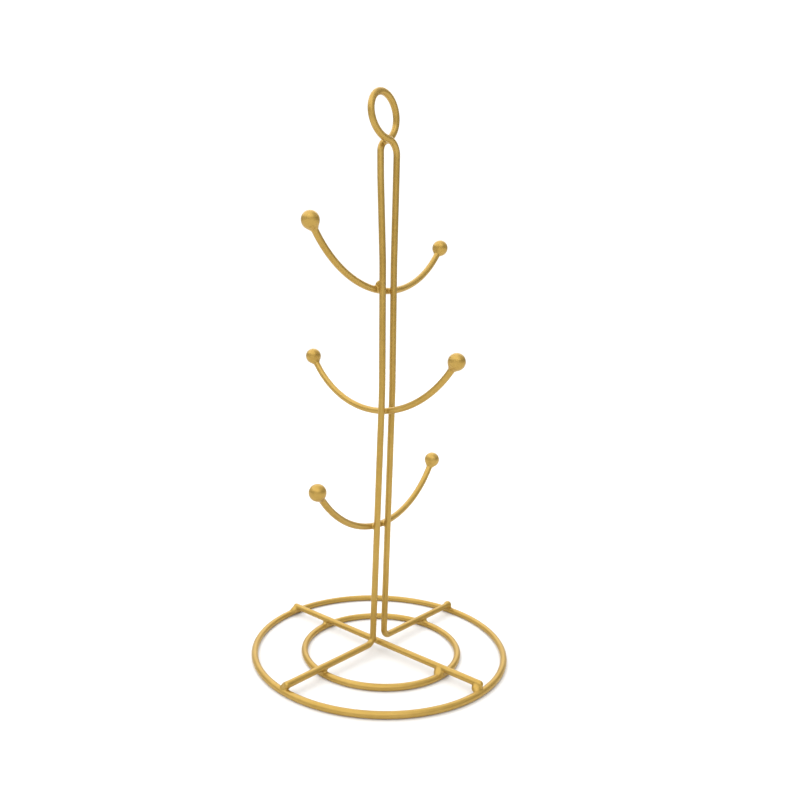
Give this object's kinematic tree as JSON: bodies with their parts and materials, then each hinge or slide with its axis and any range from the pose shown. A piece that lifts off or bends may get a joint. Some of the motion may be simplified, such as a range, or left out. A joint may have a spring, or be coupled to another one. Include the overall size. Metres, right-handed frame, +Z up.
{
  "type": "mug tree",
  "caption": "Free-standing wire mug tree: a ringed round base, a doubled wire post with a hanging loop on top, and upward-curved arms with ball ends that mugs hang from by their handles.",
  "frame": {"origin": "middle of the outer base ring, in the plane that the base rings rest on", "axes": "+Z up along the post; +Y to the back and -Y to the front, along the two spokes that are one wire with the post; +X to the right, along the straight cross wire and the middle arm"},
  "size_m": [0.16, 0.16, 0.335],
  "materials": {
    "gold_paint": "satin metallic gold paint over steel wire"
  },
  "bodies": {
    "root": {"post_wire": "gold_paint", "cross_wire": "gold_paint", "outer_ring": "gold_paint", "inner_ring": "gold_paint", "bottom_arm": "gold_paint", "middle_arm": "gold_paint", "top_arm": "gold_paint", "bottom_front_ball": "gold_paint", "bottom_back_ball": "gold_paint", "middle_right_ball": "gold_paint", "middle_left_ball": "gold_paint", "top_front_ball": "gold_paint", "top_back_ball": "gold_paint", "outer_front_weld": "gold_paint", "outer_back_weld": "gold_paint", "outer_left_weld": "gold_paint", "outer_right_weld": "gold_paint", "inner_front_weld": "gold_paint", "inner_back_weld": "gold_paint", "inner_left_weld": "gold_paint", "inner_right_weld": "gold_paint", "foot_weld": "gold_paint", "bottom_front_weld": "gold_paint", "bottom_back_weld": "gold_paint", "middle_front_weld": "gold_paint", "middle_back_weld": "gold_paint", "top_front_weld": "gold_paint", "top_back_weld": "gold_paint", "neck_weld": "gold_paint"}
  },
  "joints": []
}
